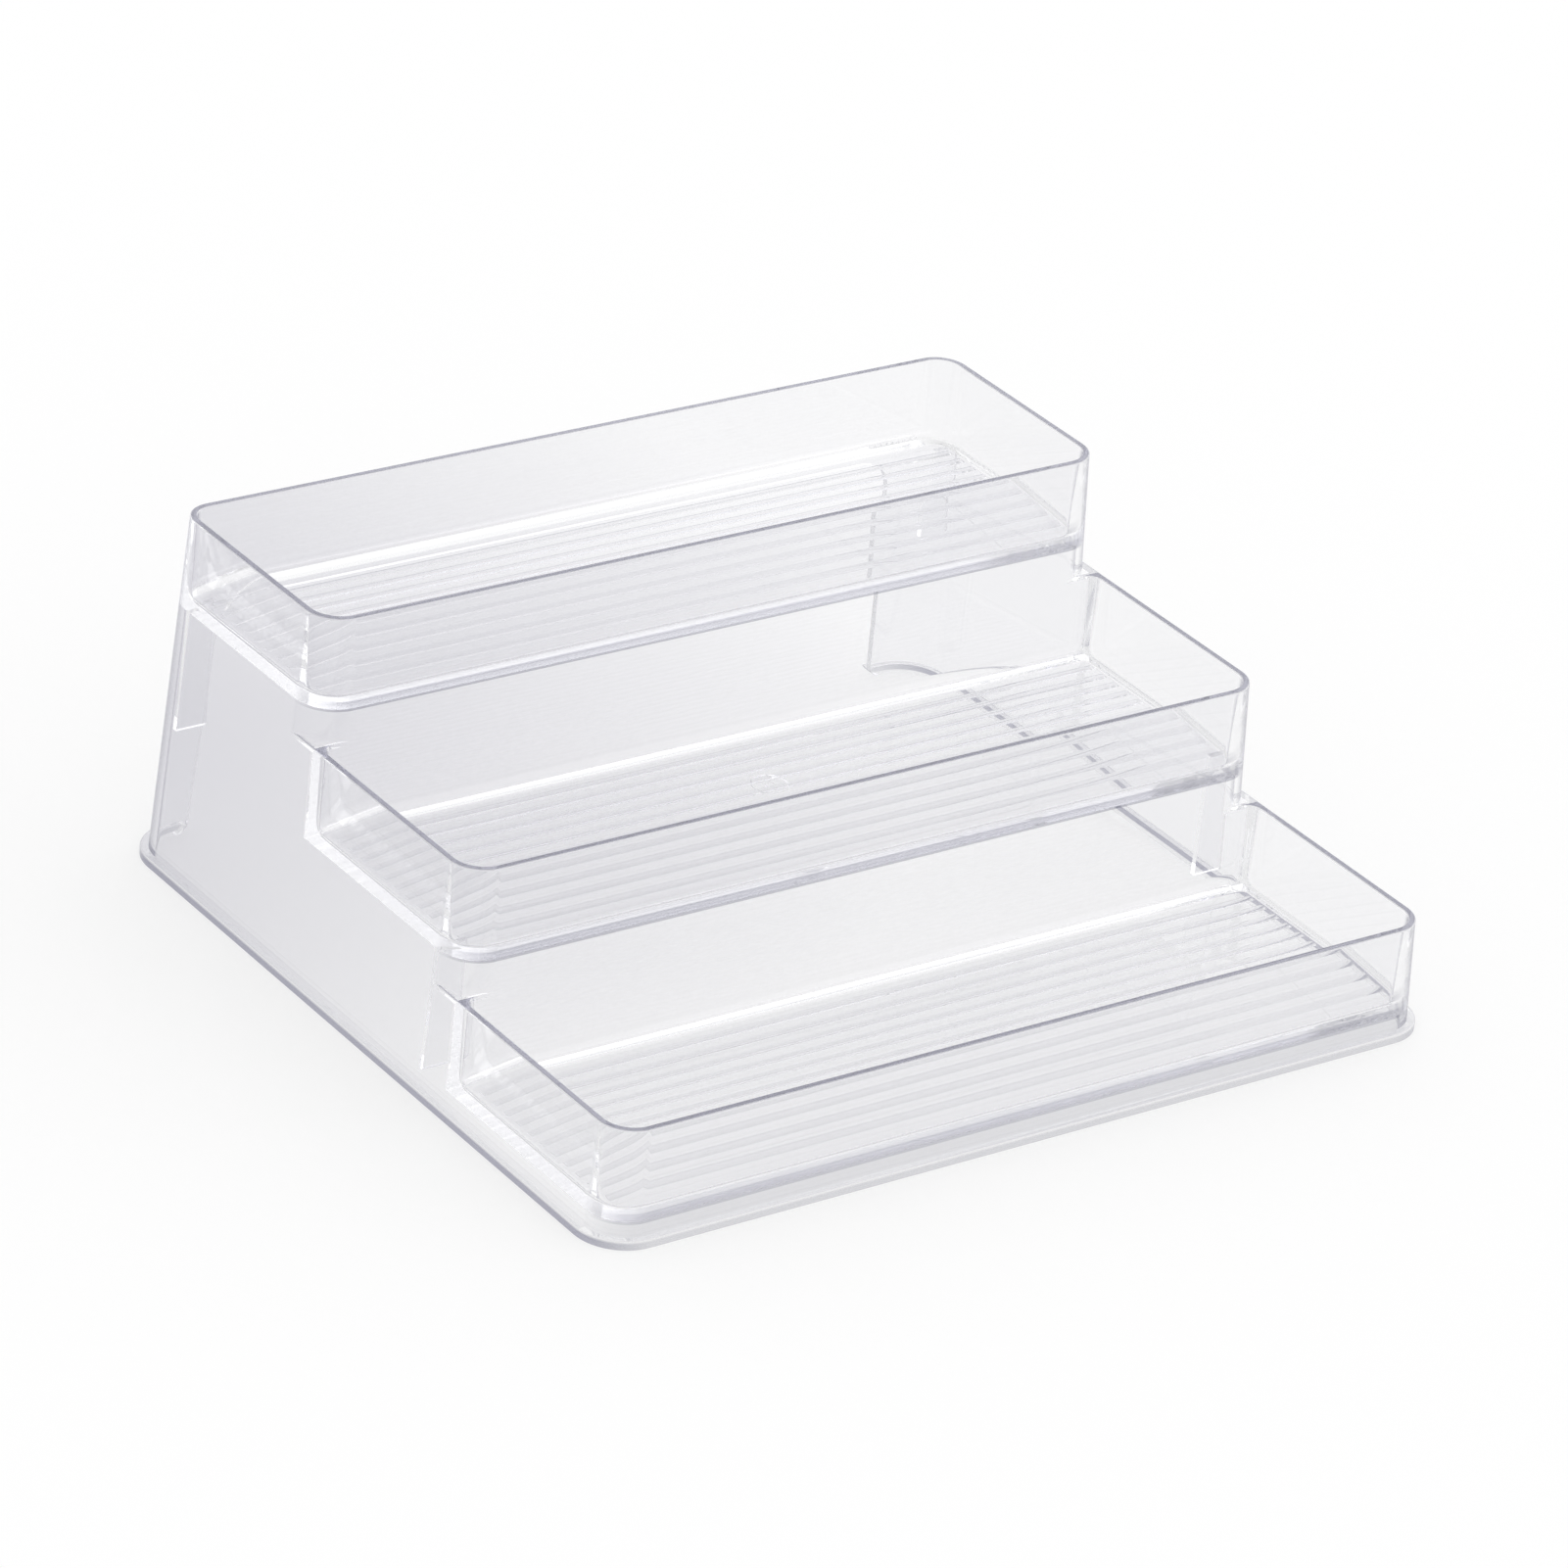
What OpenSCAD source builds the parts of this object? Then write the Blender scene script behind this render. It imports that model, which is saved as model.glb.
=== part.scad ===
// Three-tier stepped vanity organizer, moulded in clear plastic.
// X runs along the trays, Y runs from the lowest tray to the back, and Z is up.
// Each node is one region of the moulding, and its neighbours meet it face to face.

/* [Steps] */
// Width over the skirt at the foot, without the lip
base_w = 265.6; // [230:0.2:320]
// Clear height under the floor of the bottom tray
foot_gap = 6; // [5:0.1:20]
// Height from one rim up to the underside of the next tray
tier_gap = 8.6; // [4:0.1:20]
// Step back from one tray to the next
tier_run = 77.8; // [60:0.2:110]
// Depth of the top tray over its rim, front to back
top_tray_d = 74.8; // [60:0.2:110]
// Drop from each rim to the floor of its tray
tray_depth = 24.4; // [18:0.2:27]

/* [Walls] */
// Thickness of a wall, measured level
wall_t = 2; // [1.6:0.1:2.6]
// Thickness of a tray floor
floor_t = 2.2; // [1.6:0.1:2.8]
// Lean of every wall, in degrees, so that the moulding leaves its tool
lean_angle = 3.1; // [1:0.1:4]
// Rounding of the rims' edges
rim_r = 0.5; // [0.2:0.1:0.7]

/* [Corners] */
// Radius of each tray's front corners, at its rim
corner_r = 10; // [8:0.1:14]
// Radius of the back corners, at the top rim
back_corner_r = 8.6; // [8:0.1:14]
// Radius of the hollow curve round the foot of the front and side walls
floor_fillet_r = 1.8; // [1:0.1:2.2]
// Radius of the hollow curves at the foot and ends of each tray's back wall
back_fillet_r = 4.5; // [4:0.1:5.5]

/* [Floor ridges] */
// Distance from one ridge to the next
ridge_pitch = 5.6; // [4:0.1:9]
// Width of a ridge
ridge_w = 2.8; // [1.6:0.1:3.2]
// Height of a ridge
ridge_h = 0.2; // [0.15:0.05:0.4]
// Least gap between a ridge and the edge of the flat floor
ridge_gap = 0.8; // [0.5:0.1:4]

/* [Foot lip] */
// How far the lip stands out from the skirt
lip_w = 2.2; // [1.5:0.1:4]
// Thickness of the lip
lip_t = 2.4; // [1.5:0.1:3.5]
// Rounding of the lip's upper edge
lip_r = 0.6; // [0.2:0.1:1]

/* [Back opening] */
// Height of the rail over the opening
rail_h = 5.4; // [3:0.1:20]
// Radius of the opening's upper corners
opening_r = 9; // [5:0.1:15]
// Width of the flat strip beside the opening, at the foot
strip_w = 4.2; // [4:0.1:30]
// Radius of the strip's foot, beside the opening
foot_r = 3.5; // [1:0.1:3.8]

/* [Nesting lugs] */
// Width of a lug, from the skirt inwards
lug_w = 7.5; // [4:0.1:10]
// Thickness of a lug
lug_t = 1.6; // [1.2:0.1:2.4]

/* [Gate mark] */
// Diameter of the round hollow under the middle tray
gate_d = 10.5; // [6:0.1:14]
// Depth of the hollow
gate_depth = 0.5; // [0.3:0.1:0.8]
// Diameter of the stub left in the hollow
stub_d = 2.6; // [1.5:0.1:4]
// Distance of the hollow behind the middle of the flat floor
gate_back = 10; // [0:0.2:12]

/* [Hidden] */
$fn = 96;
wall_colour = [0.84, 0.84, 0.9, 0.55];
floor_colour = [0.78, 0.8, 0.86, 0.6];
top = 2;
// Straight pieces in a small rounding and in a hollow curve
edge_steps = 3;
curve_steps = 6;
// How far a cutting solid runs past what it cuts
overrun = 5;

// Worked-out places are rounded to this, so that faces that meet lie in one plane
grid = 0.001;
function on_grid(length) = grid * round(length / grid);

slope = tan(lean_angle);
slant = 1 / cos(lean_angle);
function lean(height) = on_grid(slope * height);

// Heights of each tier, numbered from 0 at the front
tier_rise = tier_gap + floor_t + tray_depth;
function rim_z(tier) = foot_gap + floor_t + tray_depth + tier * tier_rise;
function floor_z(tier) = rim_z(tier) - tray_depth;
function under_z(tier) = floor_z(tier) - floor_t;

// Faces of the outside skin at a height
base_d = 2 * on_grid((slope * (rim_z(0) + rim_z(top)) + top * tier_run + top_tray_d) / 2);
function skin_x(z) = base_w / 2 - lean(z);
function front_y(tier, z) = tier * tier_run + lean(rim_z(0) - rim_z(tier) + z) - base_d / 2;
function back_y(z) = base_d / 2 - lean(z);

// Upright axes of the round corners, where the straight sides begin
function corner_x(tier) = skin_x(rim_z(tier)) - corner_r;
function corner_y(tier) = front_y(tier, rim_z(tier)) + corner_r;
back_corner_x = skin_x(rim_z(top)) - back_corner_r;
back_corner_y = back_y(rim_z(top)) - back_corner_r;

// Distances from a corner's axis to the skin and to the face inside a tray, and to its floor fillet
function skin_d(r, tier, z) = r + lean(rim_z(tier) - z);
function face_d(r, tier, z) = r - wall_t - lean(rim_z(tier) - z);
function toe_inset(fillet) = on_grid(fillet * (slant - slope));
function toe_d(r, tier) = face_d(r, tier, floor_z(tier)) - toe_inset(floor_fillet_r);

// Axes of the upright fillets where a riser meets the side walls
function seat_x(tier) = skin_x(rim_z(tier)) - wall_t - back_fillet_r;
function seat_y(tier) = front_y(tier + 1, rim_z(tier)) - back_fillet_r;

// Face of the wall behind a tray, and the back edge of its flat floor
function rear_face_y(tier, z) = tier < top ? front_y(tier + 1, z)
    : back_y(rim_z(top)) - wall_t - lean(rim_z(top) - z);
function floor_end_y(tier) = rear_face_y(tier, floor_z(tier)) - toe_inset(back_fillet_r);
function floor_start_y(tier) = corner_y(tier) - toe_d(corner_r, tier);
function riser_back_y(tier, z) = front_y(tier + 1, z) + wall_t;

// Top of the back opening, and the height at which its upper corners begin
opening_h = under_z(top) - rail_h;
opening_bend = opening_h - opening_r;

// Points of an arc
function arc(x, y, r, from, to, steps) =
    [for (i = [0:steps]) let (a = from + (to - from) * i / steps) [x + r * cos(a), y + r * sin(a)]];

// Rounded outer edge of a rim, beside a face that leans inwards on its way up
function outer_edge(r, tier) = let (z = rim_z(tier) - rim_r)
    arc(skin_d(r, tier, z) - rim_r * slant, z, rim_r, lean_angle, 90, edge_steps);

// Inside of a tray from its rounded rim down to the toe of its floor fillet
function inner_face(r, tier) = let (z = rim_z(tier) - rim_r)
    concat(arc(face_d(r, tier, z) + rim_r * slant, z, rim_r, 90, 180 - lean_angle, edge_steps),
        arc(toe_d(r, tier), floor_z(tier) + floor_fillet_r, floor_fillet_r, -lean_angle, -90, curve_steps));

// Section of a tray's wall, drawn outwards from the corner's axis
module wall_section(r, tier) {
    polygon(concat([[toe_d(r, tier), under_z(tier)], [skin_d(r, tier, under_z(tier)), under_z(tier)]],
        outer_edge(r, tier), inner_face(r, tier)));
}

// Section of a plain leaning wall between two heights
module skin_section(r, tier, low, high) {
    polygon([[skin_d(r, tier, low) - wall_t, low], [skin_d(r, tier, low), low],
        [skin_d(r, tier, high), high], [skin_d(r, tier, high) - wall_t, high]]);
}

// The same section on its foot lip
module footed_section(r, tier, high) {
    foot = skin_d(r, tier, 0);
    polygon(concat([[foot - wall_t, 0], [foot + lip_w, 0]],
        arc(foot + lip_w - lip_r, lip_t - lip_r, lip_r, 0, 90, edge_steps),
        [[skin_d(r, tier, lip_t), lip_t], [skin_d(r, tier, high), high],
            [skin_d(r, tier, high) - wall_t, high]]));
}

// Runs a section straight, or turns it round a corner; turn 0 faces right and 90 faces back
module straight(turn, x, y, length) {
    translate([x, y, 0]) rotate([0, 0, turn]) rotate([90, 0, 0]) linear_extrude(length) children();
}
module corner(turn, x, y) {
    translate([x, y, 0]) rotate([0, 0, turn]) rotate_extrude(angle = 90) children();
}

// Front of a tier with its two corners
module front_run(tier) {
    x = corner_x(tier);
    y = corner_y(tier);
    straight(-90, x, y, 2 * x) children();
    corner(180, -x, y) children();
    corner(270, x, y) children();
}

// Both sides, from one upright plane to another
module side_runs(x, y_from, y_to) {
    straight(0, x, y_to, y_to - y_from) children();
    straight(180, -x, y_from, y_to - y_from) children();
}

// Draws an outline in Y and Z and runs it along X
module along_x(x_from, x_to) {
    translate([x_from, 0, 0]) rotate([90, 0, 90]) linear_extrude(x_to - x_from) children();
}

// Plan of the flat floor, rounded where the walls are
module floor_plan(tier) {
    x = corner_x(tier);
    y = corner_y(tier);
    r = toe_d(corner_r, tier);
    back_r = tier < top ? 0 : toe_d(back_corner_r, tier);
    side_end = tier < top ? floor_end_y(tier) : back_corner_y;
    translate([-x, y - r]) square([2 * x, r]);
    translate([-x - r, y]) square([2 * (x + r), side_end - y]);
    for (side = [-1, 1]) translate([side * x, y]) circle(r = r);
    if (tier == top)
        intersection() {
            union() {
                translate([-back_corner_x, side_end]) square([2 * back_corner_x, back_r]);
                for (side = [-1, 1]) translate([side * back_corner_x, side_end]) circle(r = back_r);
            }
            translate([-base_w / 2, side_end]) square([base_w, floor_end_y(tier) - side_end]);
        }
}

// Plan of the floor that ridges may cover
module ridge_plan(tier) {
    x = corner_x(tier);
    y = corner_y(tier);
    r = toe_d(corner_r, tier) - ridge_gap;
    translate([-x, y - r]) square([2 * x, r]);
    translate([-x - r, y]) square([2 * (x + r), floor_end_y(tier) - y]);
    for (side = [-1, 1]) translate([side * x, y]) circle(r = r);
}

// Flat floor with its row of low round-backed ridges
module tray_floor(tier) {
    flat = floor_end_y(tier) - floor_start_y(tier);
    radius = (ridge_w * ridge_w / 4 + ridge_h * ridge_h) / (2 * ridge_h);
    translate([0, 0, under_z(tier)]) linear_extrude(floor_t) floor_plan(tier);
    intersection() {
        for (i = [1:floor((flat - ridge_gap - ridge_w / 2) / ridge_pitch)])
            along_x(-base_w / 2, base_w / 2)
                translate([floor_start_y(tier) + i * ridge_pitch, floor_z(tier)])
                    intersection() {
                        translate([0, ridge_h - radius]) circle(r = radius);
                        translate([-ridge_w / 2, -ridge_h]) square([ridge_w, 3 * ridge_h]);
                    }
        translate([0, 0, floor_z(tier) - ridge_h]) linear_extrude(3 * ridge_h) ridge_plan(tier);
    }
}

// Curved foot of the wall behind a tray, from the edge of the flat floor to inside the wall
module back_foot(tier, half_w) {
    z = floor_z(tier);
    y = floor_end_y(tier);
    along_x(-half_w, half_w)
        polygon(concat([[y, under_z(tier)]],
            arc(y, z + back_fillet_r, back_fillet_r, -90, -lean_angle, curve_steps),
            [[rear_face_y(tier, z + back_fillet_r) + wall_t / 2, z + back_fillet_r],
                [rear_face_y(tier, under_z(tier)) + wall_t / 2, under_z(tier)]]));
}

// Front and side walls of one of the two lower trays
module open_tray_walls(tier) {
    front_run(tier) wall_section(corner_r, tier);
    side_runs(corner_x(tier), corner_y(tier), floor_end_y(tier)) wall_section(corner_r, tier);
}

// Space at the back of a lower tray, with filleted ends, carried up past its rim
module seat_pocket(tier) {
    x = seat_x(tier);
    y = seat_y(tier);
    low = floor_z(tier);
    high = rim_z(tier) + overrun;
    start = floor_end_y(tier) - overrun;
    edge = face_d(back_fillet_r + wall_t, tier, rim_z(tier) - rim_r) + rim_r * slant;
    module filleted() {
        polygon(concat([[0, low], [0, high], [edge, high]], inner_face(back_fillet_r + wall_t, tier)));
    }
    side_runs(x, start, y) filleted();
    corner(0, x, y) filleted();
    corner(90, -x, y) filleted();
    translate([-x, start, low]) cube([2 * x, y - start, high - low]);
    along_x(-x, x)
        polygon([[y, low], [rear_face_y(tier, low), low], [rear_face_y(tier, high), high], [y, high]]);
}

// Foot of a riser between the side walls, up to the rim of the tray in front
module riser_seat(tier) {
    low = under_z(tier);
    high = rim_z(tier);
    start = floor_end_y(tier);
    x = corner_x(tier);
    difference() {
        intersection() {
            union() {
                translate([-x, start, low]) cube([2 * x, tier_run, high - low]);
                side_runs(x, start, start + tier_run)
                    polygon(concat([[0, high], [0, low], [skin_d(corner_r, tier, low), low]],
                        outer_edge(corner_r, tier)));
            }
            along_x(-base_w, base_w)
                polygon([[start, low], [riser_back_y(tier, low), low],
                    [riser_back_y(tier, high), high], [start, high]]);
        }
        seat_pocket(tier);
    }
    back_foot(tier, skin_x(high) - wall_t / 2);
}

// Flat ledges at rim level, outside the round corners of the tier above
module ledges(tier) {
    x = corner_x(tier + 1);
    y = corner_y(tier + 1);
    low = rim_z(tier) - wall_t;
    high = rim_z(tier);
    start = front_y(tier + 1, low) + wall_t / 4;
    difference() {
        side_runs(x, start, y)
            polygon([[0, low], [skin_d(corner_r, tier + 1, low), low],
                [skin_d(corner_r, tier + 1, high), high], [0, high]]);
        for (side = [-1, 1])
            translate([side * x, y, low - overrun])
                cylinder(h = wall_t + 2 * overrun, r = skin_d(corner_r, tier + 1, high) - wall_t / 2);
    }
}

// Wall between two trays, with square ends below the lower rim and round corners above it
module riser(tier) {
    riser_seat(tier);
    ledges(tier);
    front_run(tier + 1) skin_section(corner_r, tier + 1, rim_z(tier) - wall_t, under_z(tier + 1));
}

// Side of the skirt, stepped up under the trays; turn 0 is the right side
module side_skirt(turn) {
    side = turn == 0 ? 1 : -1;
    y = corner_y(0);
    length = back_corner_y - y;
    step_back = [for (tier = [top - 1:-1:0]) each [
        [corner_y(tier + 1), under_z(tier + 1)], [corner_y(tier + 1), rim_z(tier) - wall_t],
        [riser_back_y(tier, rim_z(tier) - wall_t), rim_z(tier) - wall_t],
        [riser_back_y(tier, under_z(tier)), under_z(tier)]]];
    intersection() {
        straight(turn, side * back_corner_x, turn == 0 ? back_corner_y : y, length)
            footed_section(back_corner_r, top, rim_z(top));
        along_x(-base_w, base_w)
            polygon(concat([[y, 0], [back_corner_y, 0], [back_corner_y, under_z(top)]], step_back,
                [[y, under_z(0)]]));
    }
}

// Opening in the back, from one foot over to the other
module back_opening() {
    edge = back_corner_x - strip_w;
    foot_x = edge - slope * foot_r + foot_r * slant;
    half = concat([[foot_x, -overrun]], arc(foot_x, foot_r, foot_r, 270, 180 + lean_angle, curve_steps),
        arc(edge - slope * opening_bend - opening_r * slant, opening_bend, opening_r,
            lean_angle, 90, curve_steps));
    translate([0, back_y(0) + 2 * overrun, 0]) rotate([90, 0, 0])
        linear_extrude(back_corner_r + 4 * overrun)
            polygon(concat(half, [for (i = [len(half) - 1:-1:0]) [-half[i][0], half[i][1]]]));
}

// Back wall between the two round corners
module back_wall(low, high) {
    intersection() {
        difference() {
            straight(90, -back_corner_x, back_corner_y, 2 * back_corner_x)
                footed_section(back_corner_r, top, under_z(top));
            back_opening();
        }
        translate([-base_w, 0, low]) cube([2 * base_w, base_d, high - low]);
    }
}

// Back corner of the skirt with the strip beside the opening; turn 0 is the right one
module back_return(turn) {
    side = turn == 0 ? 1 : -1;
    corner(turn, side * back_corner_x, back_corner_y) footed_section(back_corner_r, top, under_z(top));
    intersection() {
        back_wall(0, opening_bend);
        translate([turn == 0 ? 0 : -base_w, 0, -overrun]) cube([base_w, base_d, rim_z(top)]);
    }
}

// Upright plate inside the skirt, hung under a tray
module lug(side, tier, y) {
    mirror([side < 0 ? 1 : 0, 0, 0])
        translate([0, y + lug_t, 0]) rotate([90, 0, 0]) linear_extrude(lug_t)
            polygon([[skin_x(under_z(tier)) - wall_t - lug_w, under_z(tier)],
                [skin_x(under_z(tier)) - wall_t, under_z(tier)],
                [skin_x(under_z(tier - 1)) - wall_t, under_z(tier - 1)],
                [skin_x(under_z(tier)) - wall_t - lug_w, under_z(tier - 1)]]);
}

module bottom_tray_walls() {
    color(wall_colour) open_tray_walls(0);
}
module bottom_tray_floor() {
    color(floor_colour) tray_floor(0);
}
module middle_tray_walls() {
    color(wall_colour) open_tray_walls(1);
}

// The middle floor has the hollow where the plastic was let into the tool
module middle_tray_floor() {
    color(floor_colour) difference() {
        tray_floor(1);
        translate([0, (floor_start_y(1) + floor_end_y(1)) / 2 + gate_back, under_z(1)])
            difference() {
                cylinder(h = 2 * gate_depth, d = gate_d, center = true);
                cylinder(h = 3 * gate_depth, d = stub_d, center = true);
            }
    }
}

// The top tray has a wall all round, so its back wall's curved foot joins both sides
module top_tray_walls() {
    color(wall_colour) {
        front_run(top) wall_section(corner_r, top);
        side_runs(corner_x(top), corner_y(top), back_corner_y) wall_section(corner_r, top);
        corner(0, back_corner_x, back_corner_y) wall_section(back_corner_r, top);
        corner(90, -back_corner_x, back_corner_y) wall_section(back_corner_r, top);
        straight(90, -back_corner_x, back_corner_y, 2 * back_corner_x) wall_section(back_corner_r, top);
        intersection() {
            back_foot(top, base_w / 2);
            translate([0, 0, under_z(top)]) linear_extrude(tray_depth + floor_t) union() {
                translate([-back_corner_x, 0]) square([2 * back_corner_x, base_d / 2]);
                translate([-skin_x(rim_z(top)) + wall_t / 2, 0])
                    square([2 * skin_x(rim_z(top)) - wall_t, back_corner_y]);
                for (side = [-1, 1])
                    translate([side * back_corner_x, back_corner_y]) circle(r = back_corner_r - wall_t / 2);
            }
        }
    }
}
module top_tray_floor() {
    color(floor_colour) tray_floor(top);
}
module lower_riser() {
    color(wall_colour) riser(0);
}
module upper_riser() {
    color(wall_colour) riser(1);
}
module front_skirt() {
    color(wall_colour) front_run(0) footed_section(corner_r, 0, under_z(0));
}
module left_skirt() {
    color(wall_colour) side_skirt(180);
}
module right_skirt() {
    color(wall_colour) side_skirt(0);
}
module rear_left_return() {
    color(wall_colour) back_return(90);
}
module rear_right_return() {
    color(wall_colour) back_return(0);
}
module rear_rail() {
    color(wall_colour) back_wall(opening_bend, under_z(top));
}
module middle_left_lug() {
    color(wall_colour) lug(-1, 1, corner_y(1));
}
module middle_right_lug() {
    color(wall_colour) lug(1, 1, corner_y(1));
}
module rear_left_lug() {
    color(wall_colour) lug(-1, top, back_corner_y - lug_t);
}
module rear_right_lug() {
    color(wall_colour) lug(1, top, back_corner_y - lug_t);
}

bottom_tray_walls();
bottom_tray_floor();
middle_tray_walls();
middle_tray_floor();
top_tray_walls();
top_tray_floor();
lower_riser();
upper_riser();
front_skirt();
left_skirt();
right_skirt();
rear_left_return();
rear_right_return();
rear_rail();
middle_left_lug();
middle_right_lug();
rear_left_lug();
rear_right_lug();
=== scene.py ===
"""Three-tier stepped vanity organizer in clear plastic, on a plain studio floor.

It adds the organizer's settings and a panel to the 3D view's sidebar, then builds the moulding and the
studio. The plastic is one closed shell, because light bends only where it enters or leaves the plastic. A
seam inside the plastic would show as a mirror, so the shell stands for all the regions that the frame keeps
apart.
"""

import math

import bmesh
import bpy
from mathutils import Matrix, Vector


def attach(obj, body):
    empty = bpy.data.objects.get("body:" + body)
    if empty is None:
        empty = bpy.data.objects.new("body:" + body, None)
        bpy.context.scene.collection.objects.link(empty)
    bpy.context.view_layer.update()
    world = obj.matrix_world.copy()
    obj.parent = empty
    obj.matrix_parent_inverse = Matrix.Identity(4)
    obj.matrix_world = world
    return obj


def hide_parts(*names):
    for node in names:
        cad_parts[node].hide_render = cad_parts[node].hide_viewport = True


bl_info = {
    "name": "Stepped vanity organizer",
    "version": (1, 0, 0),
    "blender": (4, 5, 0),
    "location": "3D View > Sidebar > Organizer",
    "description": "Builds a clear three-tier vanity organizer and a plain studio round it",
    "category": "Add Mesh",
}

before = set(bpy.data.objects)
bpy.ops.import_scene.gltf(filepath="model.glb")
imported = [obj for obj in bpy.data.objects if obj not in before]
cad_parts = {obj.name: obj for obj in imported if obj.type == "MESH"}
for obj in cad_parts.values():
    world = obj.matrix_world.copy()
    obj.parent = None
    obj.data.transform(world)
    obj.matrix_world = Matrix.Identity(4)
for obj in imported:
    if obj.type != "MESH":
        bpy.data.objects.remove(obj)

MM = 0.001
TIERS = (0, 1, 2)
MIDDLE = 1
TOP = 2
# How far a cutting shape runs past what it cuts
OVERRUN = 5 * MM
# How far a joined shape is sunk into its neighbour
SUNK = 0.4 * MM
# Decimals of a metre that every corner is rounded to, so that faces that meet lie in one plane
GRID_DECIMALS = 6
# One step of that grid, and a length far under it
GRID = 1e-6
TINY = 1e-7
# Steps of an upright corner, of a rim's rounding and of a hollow curve
CORNER_STEPS = 20
EDGE_STEPS = 5
CURVE_STEPS = 10
# Sides of the whole rod whose back is a ridge
ROD_STEPS = 160
# Sides of the gate's round hollow
GATE_STEPS = 64
# Angle between two faces from which their edge stays sharp
SHARP_ANGLE = math.radians(32)
# Weight at which the largest face at a corner alone decides how the corner is shaded
LARGEST_FACE_WEIGHT = 100
# Classes of faces by their painted shade, each the place of its name in the list of names below
# The clear walls get none, and floors, rims, lip, foot, ridges, bands and opening edges get painted lavender
# shade
CLEAR_WALLS = 0
TRAY_FLOORS = 1
PAINTED_SHADE_RIMS = 2
PAINTED_SHADE_LIP = 3
LIP_FOOT = 4
LOW_RIDGES = 5
PAINTED_FLOOR_BAND = 6
OPENING_EDGES = 7
PAINTED_SOFT_BAND = 8
SHADE_CLASSES = ("clear", "floor", "edge", "lip", "foot", "ridge", "band", "opening", "soft band")
# Face attribute that holds each face's share of the painted lavender shade
PAINTED_SHADE_ATTRIBUTE = "painted_shade_share"
# Heights over a floor up to which the front gets a painted dark band where the floor's end shows, and a
# softer painted band over the curve at the floor's edge
BAND_RISE = 0.8 * MM
CURVE_RISE = 2.4 * MM
# Least upward part of a level face's normal, and how far off its height such a face may lie
LEVEL_NORMAL = 0.99
LEVEL_SLACK = 0.004 * MM
# Upward part of a rim face's normal at which its painted shade starts, and the stretch over which the
# painted shade grows
RIM_SHADE_START = 0.6
RIM_SHADE_STRETCH = 0.35
# Share of the painted shade that the lip has at the front, and what its sides have more
LIP_FRONT_SHARE = 0.8
LIP_SIDE_MORE = 0.85
# Reflections that light may make inside the walls before it is given up
INNER_REFLECTIONS = 160
# Cosine of the angle to the bright side at which the key light starts to show
KEY_START = -0.8
# Upward parts of a way out into the room between which its walls turn to ceiling
CEILING_START = 0.4
CEILING_END = 0.8
# Half the side of the square studio floor, in metres
FLOOR_HALF = 6
# Width of the camera's sensor in millimetres, and how far the camera sees in metres
SENSOR_WIDTH = 36
SIGHT = 50


def colour(code):
    """A screen colour as Blender's linear colour."""
    parts = [int(code[i:i + 2], 16) / 255 for i in (1, 3, 5)]
    return [p / 12.92 if p <= 0.04045 else ((p + 0.055) / 1.055) ** 2.4 for p in parts] + [1.0]


WHITE = colour("#FFFFFF")


class OrganizerSizes(bpy.types.PropertyGroup):
    """Sizes of the moulding, the same as those of the frame"""

    base_width: bpy.props.FloatProperty(
        name="Base width", description="Width over the skirt at the foot", default=265.6 * MM, unit="LENGTH")
    foot_gap: bpy.props.FloatProperty(
        name="Foot gap", description="Clear height under the bottom tray", default=6 * MM, unit="LENGTH")
    tier_gap: bpy.props.FloatProperty(
        name="Tier gap", description="Height from a rim to the underside of the next tray",
        default=8.6 * MM, unit="LENGTH")
    tier_run: bpy.props.FloatProperty(
        name="Tier run", description="Step back from one tray to the next", default=77.8 * MM, unit="LENGTH")
    top_tray_depth: bpy.props.FloatProperty(
        name="Top tray", description="Depth of the top tray, front to back",
        default=74.8 * MM, unit="LENGTH")
    tray_depth: bpy.props.FloatProperty(
        name="Tray depth", description="Drop from a rim to its floor", default=24.4 * MM, unit="LENGTH")
    wall: bpy.props.FloatProperty(
        name="Wall", description="Thickness of a wall at its rim", default=2 * MM, unit="LENGTH")
    floor: bpy.props.FloatProperty(
        name="Floor", description="Thickness of a tray floor", default=2.2 * MM, unit="LENGTH")
    lean: bpy.props.FloatProperty(
        name="Lean", description="Lean of every wall", default=math.radians(3.1), subtype="ANGLE")
    rim_round: bpy.props.FloatProperty(
        name="Rim rounding", description="Rounding of the rims' edges", default=0.5 * MM, unit="LENGTH")
    corner: bpy.props.FloatProperty(
        name="Front corners", description="Radius of the front corners at the rim",
        default=10 * MM, unit="LENGTH")
    back_corner: bpy.props.FloatProperty(
        name="Back corners", description="Radius of the back corners at the rim",
        default=8.6 * MM, unit="LENGTH")
    floor_fillet: bpy.props.FloatProperty(
        name="Floor curve", description="Hollow curve at the foot of front and sides",
        default=1.8 * MM, unit="LENGTH")
    back_fillet: bpy.props.FloatProperty(
        name="Back curve", description="Hollow curve at the foot and ends of a back wall",
        default=4.5 * MM, unit="LENGTH")
    lip: bpy.props.FloatProperty(
        name="Foot lip", description="How far the lip stands out", default=2.2 * MM, unit="LENGTH")
    lip_height: bpy.props.FloatProperty(
        name="Lip height", description="Thickness of the foot lip", default=2.4 * MM, unit="LENGTH")
    lip_round: bpy.props.FloatProperty(
        name="Lip rounding", description="Rounding of the lip's upper edge", default=0.6 * MM, unit="LENGTH")


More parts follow.
